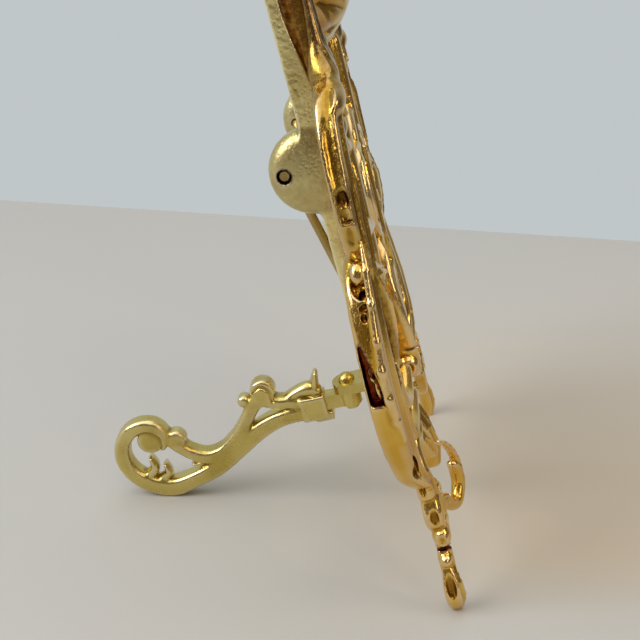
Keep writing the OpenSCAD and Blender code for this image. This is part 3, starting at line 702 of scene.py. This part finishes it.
class Graph:
    """A node tree, with its coordinates and short names for the nodes that the looks need."""

    def __init__(self, tree, coordinates):
        self.nodes, self.links = tree.nodes, tree.links
        self.where = self.nodes.new("ShaderNodeTexCoord").outputs[coordinates]

    def feed(self, socket, value):
        """Gives a socket a number, a colour or another node's result."""
        if isinstance(value, bpy.types.NodeSocket):
            self.links.new(value, socket)
        else:
            socket.default_value = (*value, 1) if isinstance(value, tuple) else value

    def attribute(self, name):
        node = self.nodes.new("ShaderNodeAttribute")
        node.attribute_name = name
        return node.outputs["Fac"]

    def noise(self, scale, detail=3.0, roughness=0.5, stretch=None):
        tex = self.nodes.new("ShaderNodeTexNoise")
        for key, value in (("Scale", scale), ("Detail", detail), ("Roughness", roughness)):
            tex.inputs[key].default_value = value
        source = self.where
        if stretch:
            mapping = self.nodes.new("ShaderNodeMapping")
            mapping.inputs["Scale"].default_value = stretch
            mapping.inputs["Rotation"].default_value = (0.3, 0.5, 0.2)
            self.links.new(source, mapping.inputs["Vector"])
            source = mapping.outputs["Vector"]
        self.links.new(source, tex.inputs["Vector"])
        return tex.outputs["Fac"]

    def spread(self, value, low, high, a, b, soft=False):
        """Maps low..high to a..b, on a straight line or a soft one."""
        node = self.nodes.new("ShaderNodeMapRange")
        if soft:
            node.interpolation_type = "SMOOTHSTEP"
        for key, v in zip(("Value", "From Min", "From Max", "To Min", "To Max"), (value, low, high, a, b)):
            self.feed(node.inputs[key], v)
        return node.outputs["Result"]

    def mix(self, factor, a, b):
        node = self.nodes.new("ShaderNodeMix")
        node.data_type = "RGBA"
        for key, value in zip(("Factor", "A", "B"), (factor, a, b)):
            self.feed(node.inputs[key], value)
        return node.outputs["Result"]

    def maths(self, operation, a, b):
        node = self.nodes.new("ShaderNodeMath")
        node.operation = operation
        for socket, value in zip(node.inputs, (a, b)):
            self.feed(socket, value)
        return node.outputs["Value"]


# what light staining and painted shade turn to, and the red of the deepest pockets, which also tints the painted shade
# in the gap behind the member
STAIN_AND_SHADE_BROWN, POCKET_RED = (0.07, 0.022, 0.006), (0.13, 0.010, 0.004)


def brass(name, metal, deep, recess, hollow, rough, grain, pits=0.0):
    """Cast brass. metal and deep are the two tones that it wanders between, recess is the colour of staining in
    pockets and of painted shade in holes and gaps, and hollow is the painted shade of every low place, while the
    ridges get a painted highlight. rough is its lowest and highest roughness, and grain and pits are bump heights in
    millimetres."""
    mat = bpy.data.materials.new(name)
    mat.use_nodes = True
    g = Graph(mat.node_tree, "Object")
    shader = g.nodes["Principled BSDF"]
    shader.inputs["Metallic"].default_value = 1.0

    stain_and_shade, depth = g.attribute("stain_and_shade"), g.attribute("hollow")
    stained_and_shaded = g.maths("MULTIPLY", stain_and_shade, g.spread(g.noise(700), 0.3, 0.6, 0.7, 1.0))
    ridge_highlight = tuple((1 + 2 * c) / 3 for c in metal)
    tone = g.mix(g.spread(g.noise(70, 4), 0.4, 0.65, 0.0, 1.0), metal, deep)
    # painted shade: every low place darkens towards hollow, and a painted highlight lightens the ridges
    tone = g.mix(g.spread(depth, 0.02, 0.32, 0.0, 0.9), tone, hollow)
    tone = g.mix(g.spread(depth, -0.08, -0.34, 0.0, 0.6), tone, ridge_highlight)
    pocket = g.mix(g.spread(stain_and_shade, 0.8, 1.0, 0.0, 1.0), STAIN_AND_SHADE_BROWN, recess)
    g.feed(shader.inputs["Base Color"], g.mix(stained_and_shaded, tone, pocket))
    smudge = g.spread(g.noise(110, 5, 0.6), 0.35, 0.7, *rough)
    g.feed(shader.inputs["Roughness"], g.maths("ADD", smudge, g.maths("MULTIPLY", stained_and_shaded, 0.08)))

    # bumps: fine grain, lumps, scratches, pits, and the rough ground of the places with staining and painted shade
    bumps = [g.maths("MULTIPLY", g.noise(3200, 2), grain * 0.4 + 0.006),
             g.maths("MULTIPLY", g.noise(420, 3, 0.6), grain),
             g.spread(g.noise(900, 2, 0.5, (1, 14, 1)), 0.60, 0.72, 0.0, -0.012)]
    if pits:
        cells = g.nodes.new("ShaderNodeTexVoronoi")
        cells.inputs["Scale"].default_value = 900
        g.feed(cells.inputs["Vector"], g.where)
        bumps.append(g.spread(cells.outputs["Distance"], 0.05, 0.5, -pits, 0.0))
    bumps.append(g.maths("MULTIPLY", stained_and_shaded, g.spread(g.noise(1500, 2), 0.3, 0.7, 0.0, 0.025)))
    height = bumps[0]
    for bump in bumps[1:]:
        height = g.maths("ADD", height, bump)
    normal = g.nodes.new("ShaderNodeBump")
    normal.inputs["Strength"].default_value = 1.0
    normal.inputs["Distance"].default_value = 0.001
    g.feed(normal.inputs["Height"], height)
    g.feed(shader.inputs["Normal"], normal.outputs["Normal"])
    return mat


polished = brass("polished_brass", (0.80, 0.52, 0.11), (0.68, 0.40, 0.05), POCKET_RED, (0.24, 0.10, 0.008),
                 (0.11, 0.20), 0.005)
# painted shade: a darker copy of the polished brass, for the crest and the shell
painted_shade_brass = brass("polished_brass_painted_shade", (0.62, 0.37, 0.07), (0.42, 0.22, 0.03), POCKET_RED, (0.12, 0.045, 0.006),
                 (0.09, 0.18), 0.005)
satin = brass("satin_brass", (0.70, 0.57, 0.19), (0.54, 0.41, 0.10), (0.10, 0.05, 0.02), (0.26, 0.17, 0.03),
              (0.20, 0.33), 0.020)
sandcast = brass("sandcast_brass", (0.92, 0.81, 0.40), (0.68, 0.55, 0.22), (0.03, 0.02, 0.01), (0.30, 0.21, 0.06),
                 (0.24, 0.38), 0.024, pits=0.05)
# painted shade: the back bail's drawn brass is given a darker colour
wire_painted_shade = brass("drawn_brass_painted_shade", (0.50, 0.37, 0.14), (0.34, 0.23, 0.08), (0.10, 0.05, 0.02), (0.3, 0.2, 0.06),
             (0.22, 0.36), 0.012)


# ---------- The object ----------

wing = finished(sculpt_wing(), 8)
piece("right_wing_casting", wing, place_wing, ["right_wing"], "panel", polished)
piece("left_wing_casting", wing, place_wing, ["left_wing"], "panel", polished, mirror=True)

for name, sculpt, node, material in (("crest_casting", sculpt_crest, "crest", painted_shade_brass),
                                     ("shell_casting", sculpt_shell, "shell_boss", painted_shade_brass),
                                     ("centre_casting", sculpt_centre, "centre_scroll", polished),
                                     ("pendant_casting", sculpt_pendant, "pendant", polished)):
    piece(name, finished(sculpt()), on_panel, [node], "panel", material)

hook = finished(sculpt_hook())
piece("left_hook_casting", hook, place_hook(HOOK_REST), ["left_hook"], "left_book_hook", polished,
      mirror=True)
piece("right_hook_casting", hook, place_hook(0), ["right_hook"], "right_book_hook", polished)

piece("leg_casting", finished(sculpt_leg()), place_leg, ["leg_scroll"], "rear_leg", satin)

stile = finished(sculpt_stile(), 1)
piece("right_bar", stile, on_panel, ["right_stile"], "panel", sandcast)
piece("left_bar", stile, on_panel, ["left_stile"], "panel", sandcast, mirror=True)

for node, material, width in (("upper_cross_bar", sandcast, 0.5), ("middle_cross_bar", sandcast, 0.5),
                              ("leg_bracket", satin, 0.7), ("leg_bar", satin, 0.6), ("leg_rivet", satin, 0.25),
                              ("left_hook_pin", satin, 0.3), ("right_hook_pin", satin, 0.3),
                              ("back_bail", wire_painted_shade, 0.3), ("wing_rivets", satin, 0.2), ("crest_rivets", satin, 0.2),
                              ("centre_rivets", satin, 0.2)):
    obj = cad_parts[node]
    for holder in obj.material_slots:
        holder.material = material
    bevel = obj.modifiers.new("worn_edges", "BEVEL")
    bevel.width, bevel.segments, bevel.limit_method = width / 1000, 3, "ANGLE"
    bevel.angle_limit = math.radians(40)
    bevel.use_clamp_overlap = True


# ---------- Floor, light, room and camera ----------

# the floor ends where the room's pale far side begins
FLOOR = [(-1.6, -1.6, 0), (0.034, -1.6, 0), (0.586, 1.6, 0), (-1.6, 1.6, 0)]
FLOOR_COLOUR, FLOOR_SHADE, FLOOR_PAINTED_GLOW = (0.48, 0.475, 0.46), 0.97, (0.50, 0.44, 0.355)

mesh = bpy.data.meshes.new("floor")
mesh.from_pydata(FLOOR, [], [[0, 1, 2, 3]])
mat = bpy.data.materials.new("floor")
mat.use_nodes = True
mesh.materials.append(mat)
obj = bpy.data.objects.new("floor", mesh)
bpy.context.collection.objects.link(obj)

g = Graph(mat.node_tree, "Object")
clouds = g.nodes.new("ShaderNodeTexNoise")
clouds.inputs["Scale"].default_value = 5
plain_floor = g.mix(clouds.outputs["Fac"], FLOOR_COLOUR, tuple(c * FLOOR_SHADE for c in FLOOR_COLOUR))
# painted light: a warm glow that the brass reflects onto the floor in front of it
spot = g.nodes.new("ShaderNodeSeparateXYZ")
g.feed(spot.inputs[0], g.where)
painted_glow = None
for axis, start, end in (("Y", -0.01, -0.09), ("Y", -0.7, -0.2), ("X", 0.22, -0.03), ("X", -0.07, -0.03)):
    fade = g.spread(spot.outputs[axis], start, end, 0.0, 1.0, soft=True)
    painted_glow = g.maths("MULTIPLY", painted_glow, fade) if painted_glow else fade
shader = g.nodes["Principled BSDF"]
shader.inputs["Roughness"].default_value = 0.7
g.feed(shader.inputs["Base Color"], g.mix(painted_glow, plain_floor, FLOOR_PAINTED_GLOW))


def area(name, place, target, size, power, colour):
    data = bpy.data.lights.new(name, "AREA")
    data.shape, data.size, data.size_y = "RECTANGLE", *size
    data.energy, data.color = power, colour
    obj = bpy.data.objects.new(name, data)
    bpy.context.collection.objects.link(obj)
    obj.location = place
    obj.rotation_euler = (Vector(target) - Vector(place)).to_track_quat("-Z", "Y").to_euler()


area("window", (-0.5, 1.3, 1.05), (0, 0, 0.1), (1.0, 0.9), 18, (1.0, 0.98, 0.95))
area("ceiling", (-0.1, 0.1, 1.5), (0, 0, 0), (1.8, 1.8), 13, (0.97, 0.98, 1.0))
area("warm_side", (-0.9, -0.7, 0.6), (0, 0, 0.1), (0.25, 0.6), 1.6, (1.0, 0.86, 0.66))
area("glow", (-0.12, -0.50, 0.45), (0.02, -0.22, 0), (0.25, 0.25), 0.7, (1.0, 0.80, 0.52))

# the room: pale ahead and to the left, dim and warm behind
PALE_SIDE = (0.85, 0.5, 0.12)
DIM, PALE = (0.17, 0.14, 0.105), (0.53, 0.57, 0.58)

world = bpy.data.worlds.new("room")
bpy.context.scene.world = world
world.use_nodes = True
g = Graph(world.node_tree, "Generated")
across = g.nodes.new("ShaderNodeVectorMath")
across.operation = "DOT_PRODUCT"
across.inputs[1].default_value = PALE_SIDE
g.feed(across.inputs[0], g.where)
blend = g.spread(across.outputs["Value"], 0.0, 0.45, 0.0, 1.0, soft=True)
g.feed(g.nodes["Background"].inputs["Color"], g.mix(blend, DIM, PALE))

bpy.context.scene.view_settings.view_transform = "Standard"

CAMERA_AT, CAMERA_AIM = (-0.293, -0.0209, 0.203), (0.9097, 0.0257, -0.4145)

camera = bpy.data.objects.new("camera", bpy.data.cameras.new("camera"))
bpy.context.collection.objects.link(camera)
camera.data.lens, camera.data.sensor_width = 54.3, 36
camera.data.clip_start = 0.01
camera.location = CAMERA_AT
camera.rotation_euler = Vector(CAMERA_AIM).to_track_quat("-Z", "Y").to_euler()
bpy.context.scene.camera = camera
